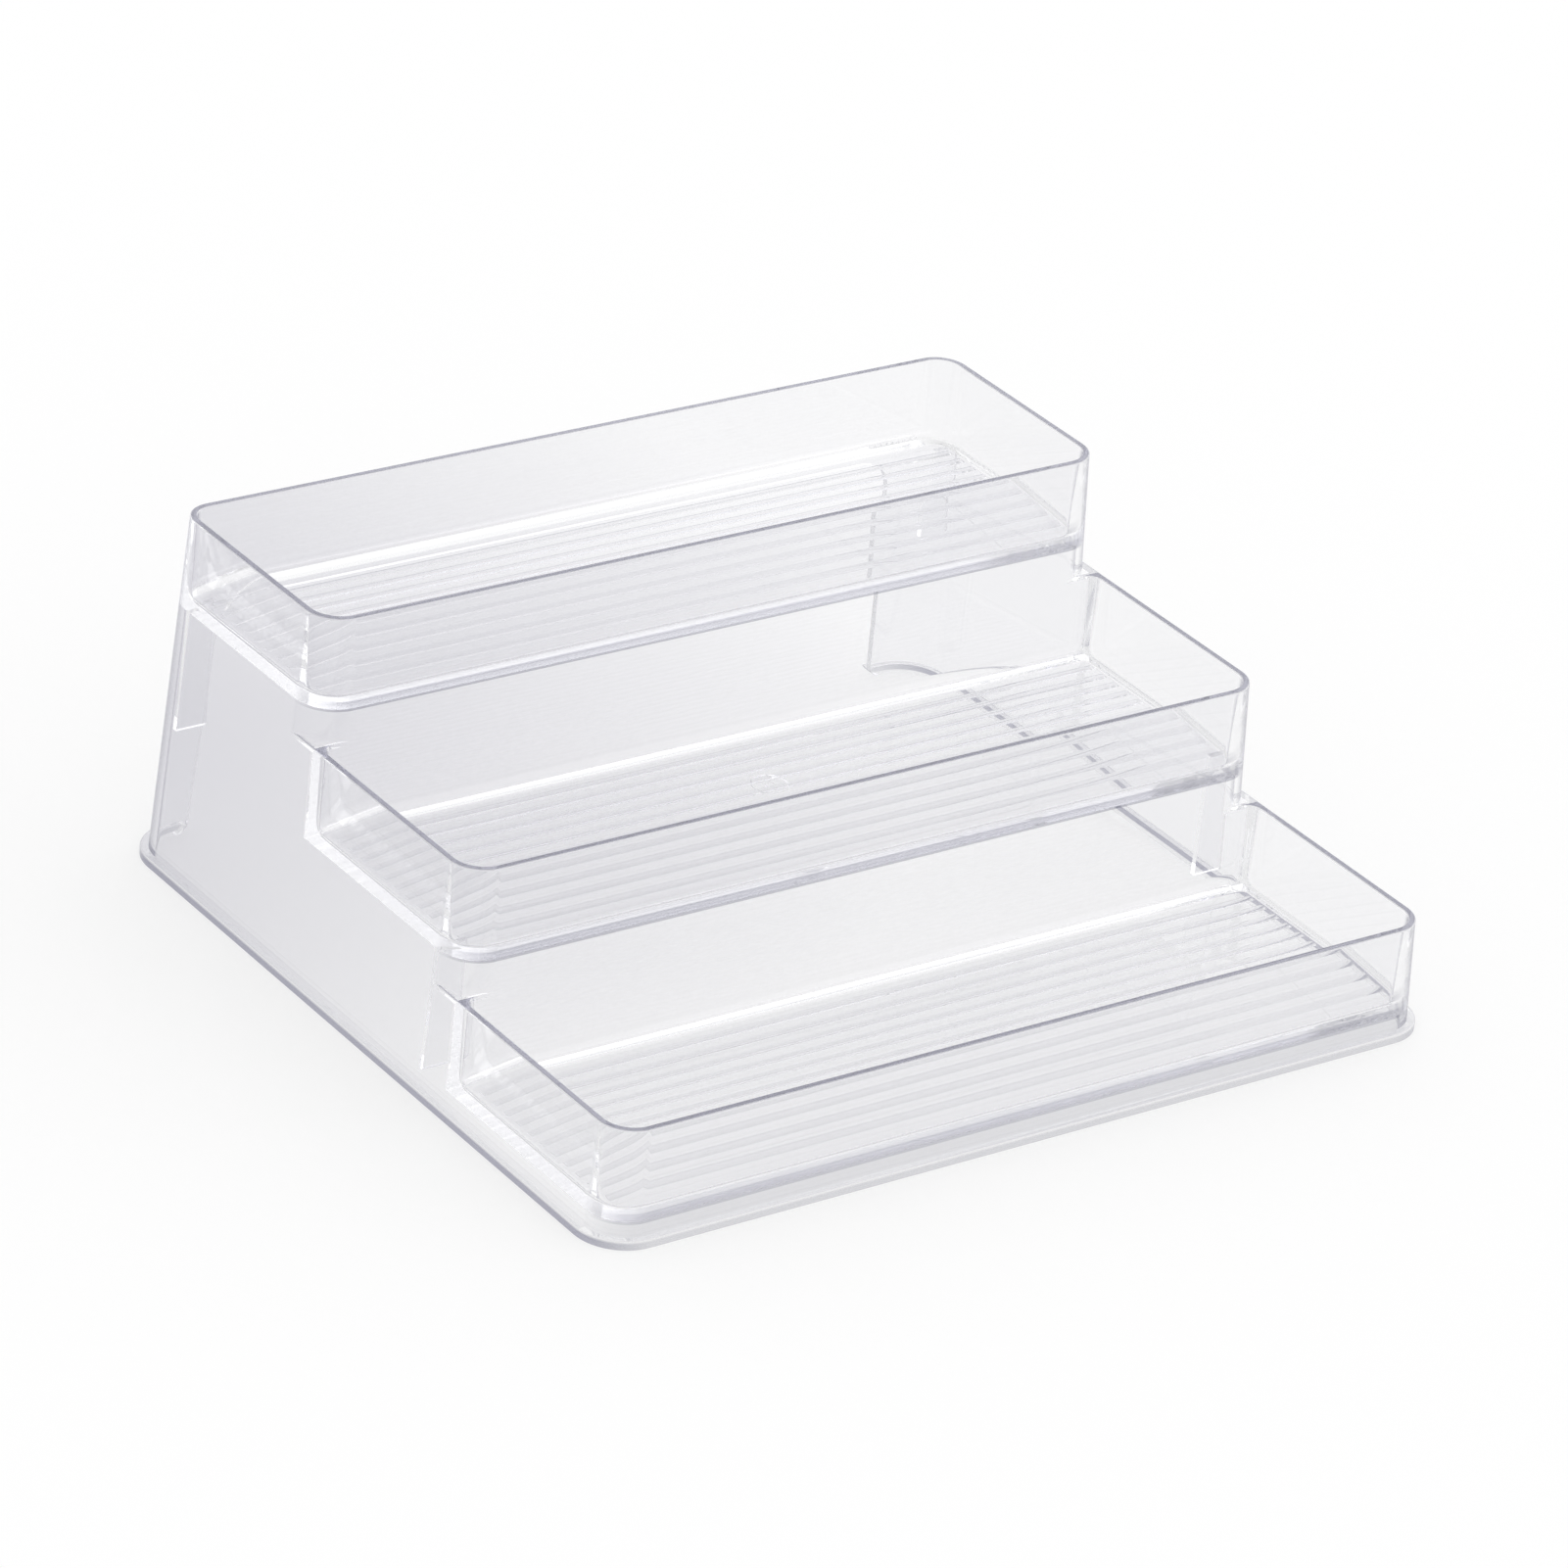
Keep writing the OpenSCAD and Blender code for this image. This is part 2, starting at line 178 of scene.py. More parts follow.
class RidgeSizes(bpy.types.PropertyGroup):
    """Sizes of the ridges on the tray floors"""

    pitch: bpy.props.FloatProperty(
        name="Pitch", description="Distance from one ridge to the next", default=5.6 * MM, unit="LENGTH")
    width: bpy.props.FloatProperty(
        name="Width", description="Width of a ridge", default=2.8 * MM, unit="LENGTH")
    height: bpy.props.FloatProperty(
        name="Height", description="Height of a ridge", default=0.2 * MM, unit="LENGTH")
    gap: bpy.props.FloatProperty(
        name="Gap", description="Least gap from a ridge to the floor's edge",
        default=0.8 * MM, unit="LENGTH")


class UndersideSizes(bpy.types.PropertyGroup):
    """Sizes of the back opening, the nesting lugs and the gate mark"""

    rail: bpy.props.FloatProperty(
        name="Rail", description="Height of the rail over the opening", default=5.4 * MM, unit="LENGTH")
    opening_round: bpy.props.FloatProperty(
        name="Opening corners", description="Radius of the opening's upper corners",
        default=9 * MM, unit="LENGTH")
    strip: bpy.props.FloatProperty(
        name="Strip", description="Width of the strip beside the opening", default=4.2 * MM, unit="LENGTH")
    foot_round: bpy.props.FloatProperty(
        name="Strip foot", description="Radius at the foot of the strip", default=3.5 * MM, unit="LENGTH")
    lug_width: bpy.props.FloatProperty(
        name="Lug width", description="Width of a lug at its top", default=7.5 * MM, unit="LENGTH")
    lug_thickness: bpy.props.FloatProperty(
        name="Lug thickness", description="Thickness of a lug", default=1.6 * MM, unit="LENGTH")
    gate: bpy.props.FloatProperty(
        name="Gate hollow", description="Diameter of the round hollow", default=10.5 * MM, unit="LENGTH")
    gate_depth: bpy.props.FloatProperty(
        name="Gate depth", description="Depth of the round hollow", default=0.5 * MM, unit="LENGTH")
    stub: bpy.props.FloatProperty(
        name="Gate stub", description="Diameter of the stub in the hollow", default=2.6 * MM, unit="LENGTH")
    gate_back: bpy.props.FloatProperty(
        name="Gate place", description="Distance of the hollow behind the floor's middle",
        default=10 * MM, unit="LENGTH")


class PlasticColours(bpy.types.PropertyGroup):
    """Colours, painted shade, polish and refraction of the plastic"""

    walls: bpy.props.FloatVectorProperty(
        name="Walls", description="Tint that one wall gives to what is behind it",
        default=colour("#F9F9FA"), subtype="COLOR", size=4, min=0, max=1)
    # The edge colour is painted lavender shade, and the shares below say how much of it each kind of face
    # gets
    edges: bpy.props.FloatVectorProperty(
        name="Edges", description="Tint of the rims and of the foot lip",
        default=colour("#747488"), subtype="COLOR", size=4, min=0, max=1)
    lip: bpy.props.FloatProperty(
        name="Lip share", description="How much of the edges' tint the side of the foot lip has",
        default=0.6, min=0, max=1)
    ridge: bpy.props.FloatProperty(
        name="Ridge share", description="How much of the edges' tint the ridges have",
        default=0.32, min=0, max=1)
    floor: bpy.props.FloatProperty(
        name="Floor share", description="How much of it the tray floors have", default=0.15, min=0, max=1)
    opening: bpy.props.FloatProperty(
        name="Opening share", description="How much of it the edges of the back opening have",
        default=0.3, min=0, max=1)
    band: bpy.props.FloatProperty(
        name="Band share", description="How much of it the front has where a floor meets it",
        default=0.75, min=0, max=1)
    soft_band: bpy.props.FloatProperty(
        name="Soft band share", description="How much of it the front has just over that, and at its foot",
        default=0.38, min=0, max=1)
    # Painted shade that grows where a face turns away from the eye, between the start and the end below
    glancing: bpy.props.FloatProperty(
        name="Glancing share", description="How much of it a face has where it turns away from the eye",
        default=0.9, min=0, max=1)
    glancing_start: bpy.props.FloatProperty(
        name="Glancing start", description="Turn away from the eye at which that tint starts",
        default=0.56, min=0, max=1)
    glancing_end: bpy.props.FloatProperty(
        name="Glancing end", description="Turn away from the eye at which that tint is whole",
        default=0.82, min=0, max=1)
    depth: bpy.props.FloatVectorProperty(
        name="Depth", description="Tint of light that has gone far inside the plastic",
        default=colour("#B5B5CB"), subtype="COLOR", size=4, min=0, max=1)
    depth_density: bpy.props.FloatProperty(
        name="Depth density", description="How fast light takes that tint, for each metre",
        default=0.35, min=0)
    refraction: bpy.props.FloatProperty(
        name="Refraction", description="Index of refraction of acrylic", default=1.49, min=1)
    roughness: bpy.props.FloatProperty(
        name="Roughness", description="Roughness of the polished plastic", default=0.0, min=0, max=1)
    swell_length: bpy.props.FloatProperty(
        name="Swell length", description="Length of the slow swells left by the tool's polish",
        default=22 * MM, unit="LENGTH")
    swell_height: bpy.props.FloatProperty(
        name="Swell height", description="Height of those swells at full strength",
        default=0.1 * MM, unit="LENGTH")
    swell_strength: bpy.props.FloatProperty(
        name="Swell strength", description="Share of that height that shows", default=0.12, min=0, max=1)


class StudioSettings(bpy.types.PropertyGroup):
    """Where the camera stands, how the studio is lit, and a painted shadow on its paper"""

    azimuth: bpy.props.FloatProperty(
        name="Azimuth", description="Direction of view, turned from the back towards the right",
        default=math.radians(37.524), subtype="ANGLE")
    elevation: bpy.props.FloatProperty(
        name="Elevation", description="How steeply the camera looks down", default=math.radians(27.505),
        subtype="ANGLE")
    roll: bpy.props.FloatProperty(
        name="Roll", description="Turn of the camera about its view", default=math.radians(6.178),
        subtype="ANGLE")
    distance: bpy.props.FloatProperty(
        name="Distance", description="Distance from the camera to its target", default=2.0306, unit="LENGTH")
    target: bpy.props.FloatVectorProperty(
        name="Target", description="Point that the camera looks at", default=(-0.00185, -0.00032, 0.04735),
        subtype="TRANSLATION", unit="LENGTH")
    lens: bpy.props.FloatProperty(
        name="Lens", description="Focal length in millimetres on a 36 mm sensor", default=173.545)
    room_light: bpy.props.FloatProperty(
        name="Room light", description="Brightness of the soft light from all round", default=0.85)
    key_light: bpy.props.FloatProperty(
        name="Key light", description="Brightness of the soft light from the bright side", default=1.75)
    key_way: bpy.props.FloatVectorProperty(
        name="Key way", description="Way to the bright side",
        default=(0.9, -0.35, 0.25), subtype="DIRECTION")
    ceiling: bpy.props.FloatProperty(
        name="Ceiling", description="Brightness of the ceiling against that of the walls", default=0.65)
    paper: bpy.props.FloatVectorProperty(
        name="Paper", description="Colour of the studio floor", default=colour("#FBFBFB"), subtype="COLOR",
        size=4, min=0, max=1)
    glow: bpy.props.FloatProperty(
        name="Paper glow", description="Share of the paper's look that takes no shadow", default=0.7,
        min=0, max=1)
    glow_through: bpy.props.FloatProperty(
        name="Glow through plastic", description="The same share for the paper seen through the plastic",
        default=0.85, min=0, max=1)
    # A painted shadow on the paper that only the plastic shows: where it is darkest, how far it reaches and
    # its colour
    painted_shadow_place: bpy.props.FloatVectorProperty(
        name="Dim place", description="Where the paper seen through the plastic is dimmest",
        default=(-0.13, 0.211, 0.0), subtype="TRANSLATION", unit="LENGTH")
    painted_shadow_reach: bpy.props.FloatProperty(
        name="Dim reach", description="How far the dim part of the paper reaches",
        default=0.27, unit="LENGTH")
    painted_shadow_colour: bpy.props.FloatVectorProperty(
        name="Dim paper", description="Colour of the paper at its dimmest", default=colour("#CDCCD4"),
        subtype="COLOR", size=4, min=0, max=1)


def rim(sizes, tier):
    """Height of a tray's rim."""
    rise = sizes.tier_gap + sizes.floor + sizes.tray_depth
    return sizes.foot_gap + sizes.floor + sizes.tray_depth + tier * rise


def floor_top(sizes, tier):
    """Height of the flat upper face of a tray floor."""
    return rim(sizes, tier) - sizes.tray_depth


def under(sizes, tier):
    """Height of a tray's underside."""
    return floor_top(sizes, tier) - sizes.floor


def leaned(sizes, height):
    """How far a wall leans in over a height."""
    return math.tan(sizes.lean) * height


def base_depth(sizes):
    """Depth over the skirt at the foot."""
    both = leaned(sizes, rim(sizes, 0) + rim(sizes, TOP))
    return both + TOP * sizes.tier_run + sizes.top_tray_depth


def skin_x(sizes, z):
    """Half the outer width at a height."""
    return sizes.base_width / 2 - leaned(sizes, z)


def front_y(sizes, tier, z):
    """Place of a tier's front face at a height."""
    shift = leaned(sizes, rim(sizes, 0) - rim(sizes, tier) + z)
    return tier * sizes.tier_run + shift - base_depth(sizes) / 2


def back_y(sizes, z):
    """Place of the back face at a height."""
    return base_depth(sizes) / 2 - leaned(sizes, z)


def front_radius(sizes, tier, z):
    """Radius of a tier's front corners at a height."""
    return sizes.corner + leaned(sizes, rim(sizes, tier) - z)


def back_radius(sizes, z):
    """Radius of the back corners at a height."""
    return sizes.back_corner + leaned(sizes, rim(sizes, TOP) - z)


def arc(radius, start, end, steps):
    """Points of an arc about zero, in degrees."""
    turns = [math.radians(start + (end - start) * i / steps) for i in range(steps + 1)]
    return [(radius * math.cos(turn), radius * math.sin(turn)) for turn in turns]


def outline(sizes, tier, z, out=0.0, square_front=0.0):
    """Level section of a tier at a height, moved out by a length: half width, front, back and both radii.

    A square front has the small radius that is given for it.
    """
    return {
        "z": z,
        "half": skin_x(sizes, z) + out,
        "front": front_y(sizes, tier, z) - out,
        "back": back_y(sizes, z) + out,
        "front_radius": square_front or front_radius(sizes, tier, z) + out,
        "back_radius": back_radius(sizes, z) + out,
    }


def snapped(x, y, z):
    """A point on the fine grid that all blocks share."""
    return Vector((round(x, GRID_DECIMALS), round(y, GRID_DECIMALS), round(z, GRID_DECIMALS)))


def corner_axis(ring, side, end):
    """Radius, x and y of the axis of a ring's corner, which is left or right and front or back."""
    radius = ring["front_radius"] if end < 0 else ring["back_radius"]
    y = ring["front"] + radius if end < 0 else ring["back"] - radius
    return radius, side * (ring["half"] - radius), y


def on_ring(ring, way):
    """Point of a ring at a corner's way out, which is (left or right, front or back, x share, y share)."""
    side, end, x_share, y_share = way
    radius, x, y = corner_axis(ring, side, end)
    return snapped(x + x_share * radius, y + y_share * radius, ring["z"])


def way_out(ring, point):
    """Which corner of a ring a point belongs to, and its direction from that corner's axis."""
    end = -1 if point.y < (ring["front"] + ring["back"]) / 2 else 1
    side = math.copysign(1, point.x)
    _, x, y = corner_axis(ring, side, end)
    turn = math.atan2(point.y - y, point.x - x)
    step = math.pi / 2 / CORNER_STEPS
    turn = round(turn / step) * step
    return side, end, math.cos(turn), math.sin(turn)


def new_piece(name, mesh_maker, materials=()):
    """An object whose mesh is what the maker leaves in its bmesh, welded and facing outwards."""
    shape = bmesh.new()
    mesh_maker(shape)
    bmesh.ops.remove_doubles(shape, verts=shape.verts, dist=TINY)
    bmesh.ops.recalc_face_normals(shape, faces=shape.faces)
    mesh = bpy.data.meshes.new(name)
    shape.to_mesh(mesh)
    shape.free()
    for material in materials:
        mesh.materials.append(material)
    piece = bpy.data.objects.new(name, mesh)
    bpy.context.scene.collection.objects.link(piece)
    return piece


def loop_y(ring, side):
    """The y of a ring's front or back edge as a mesh stores it."""
    return Vector((0, ring[side], 0)).y


def add_stack(shape, rings, foot_shade_class):
    """Closed block through a pile of rounded rectangles, the lowest first.

    A ring's shade class, which decides its faces' painted shade, is that of the faces below it, and the
    foot's class is that of the lowest face.
    """
    first = rings[0]
    made = bmesh.ops.create_grid(shape, x_segments=1, y_segments=1, size=1)
    for vertex in made["verts"]:
        y = first["front"] if vertex.co.y < 0 else first["back"]
        vertex.co = Vector((math.copysign(first["half"], vertex.co.x), y, first["z"]))
    loop = list(made["verts"])
    for side, radius in (("front", first["front_radius"]), ("back", first["back_radius"])):
        corners = [v for v in loop if v.is_valid and v.co.y == loop_y(first, side)]
        bevelled = bmesh.ops.bevel(
            shape, geom=corners, offset=radius, offset_type="OFFSET", segments=CORNER_STEPS, profile=0.5,
            affect="VERTICES", material=-1)
        loop = [v for v in loop if v.is_valid] + list(bevelled["verts"])
    face = next(f for f in loop[-1].link_faces)
    face.material_index = foot_shade_class
    ways = {}
    for vertex in face.verts:
        way = way_out(first, vertex.co)
        vertex.co = on_ring(first, way)
        ways[tuple(vertex.co)] = way
    for ring in rings[1:]:
        inside = face
        extruded = bmesh.ops.extrude_face_region(shape, geom=[inside])
        face = next(item for item in extruded["geom"] if isinstance(item, bmesh.types.BMFace))
        if ring is not rings[1] and inside.is_valid:
            bmesh.ops.delete(shape, geom=[inside], context="FACES_ONLY")
        moved = {}
        for vertex in face.verts:
            way = ways[tuple(vertex.co)]
            vertex.co = on_ring(ring, way)
            moved[tuple(vertex.co)] = way
        ways = moved
        for edge in face.edges:
            for wall in edge.link_faces:
                wall.material_index = ring.get("shade_class", CLEAR_WALLS)


def carry_out_modifiers(piece):
    """Gives a piece the mesh that its modifiers make, and takes them off."""
    depsgraph = bpy.context.evaluated_depsgraph_get()
    mesh = bpy.data.meshes.new_from_object(piece.evaluated_get(depsgraph))
    piece.modifiers.clear()
    old = piece.data
    piece.data = mesh
    bpy.data.meshes.remove(old)


def combine(target, tool, operation):
    """Joins, cuts or intersects the target with a tool, which is then gone."""
    change = target.modifiers.new("change", "BOOLEAN")
    change.operation = operation
    change.solver = "EXACT"
    change.object = tool
    change.material_mode = "TRANSFER"
    carry_out_modifiers(target)
    used = tool.data
    bpy.data.objects.remove(tool)
    bpy.data.meshes.remove(used)
    if not target.data.polygons:
        raise RuntimeError(f"{target.name} was empty after {operation}")


def rim_edge(sizes, tier):
    """Heights and insets of the rounding on the outer edge of a rim, the lowest first."""
    radius = sizes.rim_round
    slant = 1 / math.cos(sizes.lean)
    low = rim(sizes, tier) - radius
    steps = arc(radius, math.degrees(sizes.lean), 90, EDGE_STEPS)
    face = leaned(sizes, rim(sizes, tier) - low)
    return [(low + z, face - radius * slant + x) for x, z in steps]


def marked_for_shade(ring, shade_class=PAINTED_SHADE_RIMS):
    """The ring, with the faces below it marked for painted shade, for an edge that light comes out of."""
    return {**ring, "shade_class": shade_class}


def outer_block(sizes, tier):
    """Rings of the outside of a tier, from its foot up to its rounded rim."""
    rings = []
    if tier == 0:
        rings.append(outline(sizes, tier, 0.0, sizes.lip))
        # The faces above the foot are the lip's side, its round edge and its top, all marked for painted
        # shade
        for x, z in arc(sizes.lip_round, 0, 90, EDGE_STEPS):
            height = sizes.lip_height - sizes.lip_round + z
            out = sizes.lip - sizes.lip_round + x + leaned(sizes, height)
            rings.append(marked_for_shade(outline(sizes, tier, height, out), PAINTED_SHADE_LIP))
        rings.append(marked_for_shade(outline(sizes, tier, sizes.lip_height), PAINTED_SHADE_LIP))
    else:
        rings += [outline(sizes, tier, z) for z, _ in rim_edge(sizes, tier - 1)]
    # The front under the bottom tray, the floor's end and the curve over it are marked for painted bands
    below = outline(sizes, tier, under(sizes, tier))
    rings.append(marked_for_shade(below, PAINTED_SOFT_BAND) if tier == 0 else below)
    rings.append(marked_for_shade(outline(sizes, tier, floor_top(sizes, tier) + BAND_RISE), PAINTED_FLOOR_BAND))
    rings.append(marked_for_shade(outline(sizes, tier, floor_top(sizes, tier) + CURVE_RISE), PAINTED_SOFT_BAND))
    edge = rim_edge(sizes, tier)
    rings.append(outline(sizes, tier, edge[0][0]))
    for z, inset in edge[1:]:
        rings.append(marked_for_shade(outline(sizes, tier, z, inset - leaned(sizes, rim(sizes, tier) - z))))
    return rings


def pocket(sizes, tier):
    """Rings of the space inside a tray, from its flat floor up to its rim."""
    bottom, top = floor_top(sizes, tier), rim(sizes, tier)
    slope, slant = math.tan(sizes.lean), 1 / math.cos(sizes.lean)

    def toe(fillet, z):
        """How far a hollow curve keeps the wall from its plain face at a height."""
        rise = z - bottom
        if rise >= fillet * (1 - math.sin(sizes.lean)):
            return 0.0
        level = math.sqrt(max(fillet ** 2 - (fillet - rise) ** 2, 0.0))
        return fillet * (slant - slope) - level + slope * rise

    heights = {bottom}
    for fillet in (sizes.floor_fillet, sizes.back_fillet):
        heights |= {bottom + fillet + z for _, z in arc(fillet, -90, -math.degrees(sizes.lean), CURVE_STEPS)}
    edge = rim_edge(sizes, tier)
    heights |= {z for z, _ in edge}
    rings = []
    for z in sorted(heights):
        if rings and z - rings[-1]["z"] < GRID:
            continue
        opened = leaned(sizes, top - z)
        level = max(z - edge[0][0], 0.0)
        flare = sizes.rim_round - math.sqrt(max(sizes.rim_round ** 2 - level ** 2, 0.0))
        inset = sizes.wall + opened + toe(sizes.floor_fillet, z) - flare
        if tier == TOP:
            back_inset = sizes.wall + opened + toe(sizes.back_fillet, z) - flare
            back = back_y(sizes, top) - back_inset
            back_corner = sizes.back_corner - inset
        else:
            back = front_y(sizes, tier + 1, z) - toe(sizes.back_fillet, z)
            back_corner = sizes.back_fillet - (inset - sizes.wall)
        ring = {
            "z": z,
            "half": skin_x(sizes, top) - inset,
            "front": front_y(sizes, tier, top) + inset,
            "back": back,
            "front_radius": sizes.corner - inset,
            "back_radius": max(back_corner, sizes.rim_round),
        }
        rings.append(marked_for_shade(ring) if z > edge[0][0] else ring)
    return rings


def hollow_block(sizes, tier):
    """Rings of the space under a tray, between its round corners."""
    low = -OVERRUN if tier == 0 else rim(sizes, tier - 1) - sizes.wall
    heights = [low, under(sizes, tier)]
    return [outline(sizes, tier, z, -sizes.wall) for z in heights]


def step_block(sizes, tier):
    """Rings of the space behind the riser in front of a tier, with nearly square front corners."""
    heights = [under(sizes, tier - 1), rim(sizes, tier - 1) - sizes.wall]
    return [outline(sizes, tier, z, -sizes.wall, square_front=sizes.rim_round) for z in heights]


def corners_of(made):
    """The corners among what a bmesh operator gives back."""
    return [part for part in made["geom"] if isinstance(part, bmesh.types.BMVert)]


def with_links(corners):
    """The corners and all edges and faces at them, each once and always in the same order."""
    return list(dict.fromkeys(part for v in corners for part in (v, *v.link_edges, *v.link_faces)))


def draw_out(shape, faces, way):
    """Makes a closed block of flat faces by drawing them out along a way."""
    extruded = bmesh.ops.extrude_face_region(shape, geom=faces)
    bmesh.ops.translate(shape, verts=corners_of(extruded), vec=way)


def add_opening(sizes, low_sizes, shape):
    """Block that cuts the back opening, with round upper corners and round feet beside it."""
    edge = skin_x(sizes, rim(sizes, TOP)) - sizes.back_corner - low_sizes.strip
    top = under(sizes, TOP) - low_sizes.rail
    slope = math.tan(sizes.lean)
    foot_x = edge + low_sizes.foot_round * (1 / math.cos(sizes.lean) - slope)
    depth = sizes.back_corner + 4 * OVERRUN
    y = back_y(sizes, 0) + 2 * OVERRUN
    right = [(foot_x, -OVERRUN), (foot_x, 0.0), (edge, 0.0), (edge - slope * top, top)]
    points = right + [(-x, z) for x, z in reversed(right)]
    corners = [shape.verts.new((x, y, z)) for x, z in points]
    shape.faces.new(corners)
    for picked, radius in (((corners[3], corners[4]), low_sizes.opening_round),
                           ((corners[2], corners[5]), low_sizes.foot_round)):
        bmesh.ops.bevel(shape, geom=list(picked), offset=radius, offset_type="OFFSET",
                        segments=CORNER_STEPS // 2, profile=0.5, affect="VERTICES", material=-1)
    draw_out(shape, list(shape.faces), (0, -depth, 0))
    # All faces of the cut are marked for the opening edges' painted shade
    for face in shape.faces:
        face.material_index = OPENING_EDGES


def add_lug(sizes, low_sizes, shape, side, tier, y):
    """Upright plate inside the skirt, sunk a little into the tray's underside and the skirt."""
    high, low = under(sizes, tier), under(sizes, tier - 1)
    edge = skin_x(sizes, high) - sizes.wall
    inner = edge - low_sizes.lug_width
    outer_low = skin_x(sizes, low) - sizes.wall
    points = [(inner, high + SUNK), (edge + SUNK, high + SUNK), (outer_low + SUNK, low), (inner, low)]
    corners = [shape.verts.new((side * x, y, z)) for x, z in points]
    draw_out(shape, [shape.faces.new(corners)], (0, low_sizes.lug_thickness, 0))


def add_lugs(sizes, low_sizes, shape):
    """Two pairs of lugs, one under the middle tray's front and one at the back corners."""
    first_y = front_y(sizes, MIDDLE, rim(sizes, MIDDLE)) + sizes.corner
    rear_y = back_y(sizes, rim(sizes, TOP)) - sizes.back_corner - low_sizes.lug_thickness
    for side in (-1, 1):
        add_lug(sizes, low_sizes, shape, side, MIDDLE, first_y)
        add_lug(sizes, low_sizes, shape, side, TOP, rear_y)
    # On the grid a rear lug ends exactly where the round back corner starts
    for corner in shape.verts:
        corner.co = snapped(*corner.co)


def flat_floor(sizes, tier):
    """Ring round the flat part of a tray floor."""
    return pocket(sizes, tier)[0]


def add_ridges(sizes, ridges, shape, tier):
    """Row of low ridges, each the back of a wide rod whose rest is cut off under the floor's face."""
    flat = flat_floor(sizes, tier)
    face = floor_top(sizes, tier)
    radius = (ridges.width ** 2 / 4 + ridges.height ** 2) / (2 * ridges.height)
    room = flat["back"] - flat["front"] - ridges.gap - ridges.width / 2
    place = Vector((0, flat["front"] + ridges.pitch, face + ridges.height - radius))
    lying = Matrix.Rotation(math.radians(90), 4, "Y")
    known = set(shape.verts)
    bmesh.ops.create_cone(
        shape, cap_ends=True, segments=ROD_STEPS, radius1=radius, radius2=radius, depth=2 * flat["half"],
        matrix=Matrix.Translation(place) @ lying)
    rod = [v for v in shape.verts if v not in known]
    cut = bmesh.ops.bisect_plane(
        shape, geom=with_links(rod), plane_co=(0, 0, face - SUNK / 2), plane_no=(0, 0, 1), clear_inner=True)
    open_edges = [e for e in cut["geom_cut"] if isinstance(e, bmesh.types.BMEdge)]
    bmesh.ops.contextual_create(shape, geom=open_edges)
    first = with_links([v for v in shape.verts if v not in known])
    for count in range(1, int(room / ridges.pitch)):
        copy = bmesh.ops.duplicate(shape, geom=first)
        bmesh.ops.translate(shape, verts=corners_of(copy), vec=(0, count * ridges.pitch, 0))


def add_all_ridges(sizes, ridges, shape):
    """The ridges of all trays."""
    for tier in TIERS:
        add_ridges(sizes, ridges, shape, tier)
    # The ridges are marked for their painted shade
    for face in shape.faces:
        face.material_index = LOW_RIDGES


def ridge_limit(sizes, ridges, tier):
    """Block within which the ridges of a tray may stand."""
    flat = flat_floor(sizes, tier)
    z = floor_top(sizes, tier)
    rings = []
    for height in (z - sizes.floor + SUNK, z + sizes.floor):
        rings.append({
            "z": height, "half": flat["half"] - ridges.gap, "front": flat["front"] + ridges.gap,
            "back": flat["back"], "front_radius": max(flat["front_radius"] - ridges.gap, MM),
            "back_radius": max(flat["back_radius"], MM)})
    return rings


def add_gate(sizes, low_sizes, shape):
    """Ring that cuts the gate's round hollow and leaves its stub."""
    flat = flat_floor(sizes, MIDDLE)
    middle_y = (flat["front"] + flat["back"]) / 2
    centre = Vector((0, middle_y + low_sizes.gate_back, under(sizes, MIDDLE)))
    deep = low_sizes.gate_depth
    points = [(low_sizes.stub / 2, -deep), (low_sizes.gate / 2, -deep),
              (low_sizes.gate / 2, deep), (low_sizes.stub / 2, deep)]
    corners = [shape.verts.new(centre + Vector((x, 0, z))) for x, z in points]
    edges = [shape.edges.new((a, b)) for a, b in zip(corners, corners[1:] + corners[:1])]
    bmesh.ops.spin(shape, geom=corners + edges, cent=centre, axis=(0, 0, 1), angle=2 * math.pi,
                   steps=GATE_STEPS, use_duplicate=False, use_merge=True)


def stacked(name, materials, *piles, foot_shade_class=CLEAR_WALLS):
    """A piece made of closed blocks, each given as its rings, whose lowest faces share one class of painted
    shade.
    """
    def make(shape):
        for rings in piles:
            add_stack(shape, rings, foot_shade_class)

    return new_piece(name, make, materials)


def outer_form(sizes, materials):
    """The three tiers as one solid, which reaches down to the foot."""
    form = stacked("clear_moulding", materials, outer_block(sizes, 0), foot_shade_class=LIP_FOOT)
    for tier in TIERS[1:]:
        combine(form, stacked("tier", materials, outer_block(sizes, tier)), "UNION")
    return form


def hollow_form(sizes, materials):
    """The space under the trays as one solid."""
    form = stacked("hollow", materials, hollow_block(sizes, 0))
    for tier in TIERS[1:]:
        combine(form, stacked("step", materials, step_block(sizes, tier)), "UNION")
        combine(form, stacked("room", materials, hollow_block(sizes, tier)), "UNION")
    return form


def ridge_form(sizes, ridges, materials):
    """The ridges of all trays, each cut off at its floor's edge."""
    form = new_piece("rods", lambda shape: add_all_ridges(sizes, ridges, shape), materials)
    limits = stacked("limits", materials, *[ridge_limit(sizes, ridges, tier) for tier in TIERS])
    combine(form, limits, "INTERSECT")
    return form


